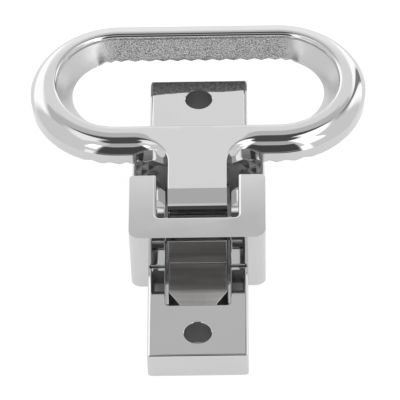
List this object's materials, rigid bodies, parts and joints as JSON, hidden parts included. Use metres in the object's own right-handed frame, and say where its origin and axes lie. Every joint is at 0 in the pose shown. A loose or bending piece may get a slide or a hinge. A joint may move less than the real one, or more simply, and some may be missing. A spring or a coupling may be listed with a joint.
{
  "type": "toggle bolt latch",
  "caption": "Surface-mounted latch: lifting a flat oval ring handle draws a wedge-nosed slide bolt out of a separate keeper block.",
  "frame": {"origin": "on the mounting surface, under the middle of the latch's outline", "axes": "+Y along the latch from the keeper towards the ring, +Z out of the mounting surface, +X across the latch"},
  "size_m": [0.0874, 0.1072, 0.0185],
  "materials": {
    "chrome": "polished chrome plate on a casting",
    "satin_steel": "fine brushed",
    "plain_steel": "ground",
    "zinc_plate": "dull zinc plate",
    "bronze": "plain machined",
    "spring_steel": "drawn wire",
    "black_rubber": "matt moulded"
  },
  "bodies": {
    "latch": {"latch_body": "chrome", "keeper": "chrome", "hinge_pin": "plain_steel", "pin_retaining_clip": "spring_steel", "retainer_plate": "zinc_plate", "handle_bumper": "black_rubber", "plate_screw_front_left": "zinc_plate", "plate_screw_front_right": "zinc_plate", "plate_screw_rear_left": "zinc_plate", "plate_screw_rear_right": "zinc_plate", "bolt_spring_left": "spring_steel", "bolt_spring_right": "spring_steel", "spring_guide_left": "plain_steel", "spring_guide_right": "plain_steel"},
    "handle": {"pull_handle": "chrome", "drive_pin": "plain_steel", "pivot_bush_left": "bronze", "pivot_bush_right": "bronze"},
    "roller": {"drive_roller": "plain_steel"},
    "bolt": {"slide_bolt": "satin_steel"}
  },
  "joints": [
    {"name": "handle_lift", "type": "hinge", "parent": "latch", "child": "handle", "pos_m": [0, -0.01098, 0.01], "axis": [1, 0, 0], "range_deg": [0, 55]},
    {"name": "bolt_slide", "type": "slide", "parent": "latch", "child": "bolt", "axis": [0, 1, 0], "range_m": [0, 0.00443], "stiffness_N_per_m": 800, "springref_m": -0.006, "deforming": ["bolt_spring_left", "bolt_spring_right"]},
    {"name": "roller_spin", "type": "hinge", "parent": "handle", "child": "roller", "pos_m": [0, -0.01319, 0.00574], "axis": [1, 0, 0], "continuous": true}
  ],
  "couplings": [
    {"joint": "bolt_slide", "follows": "handle_lift", "m_per_rad": 0.0046178}
  ]
}
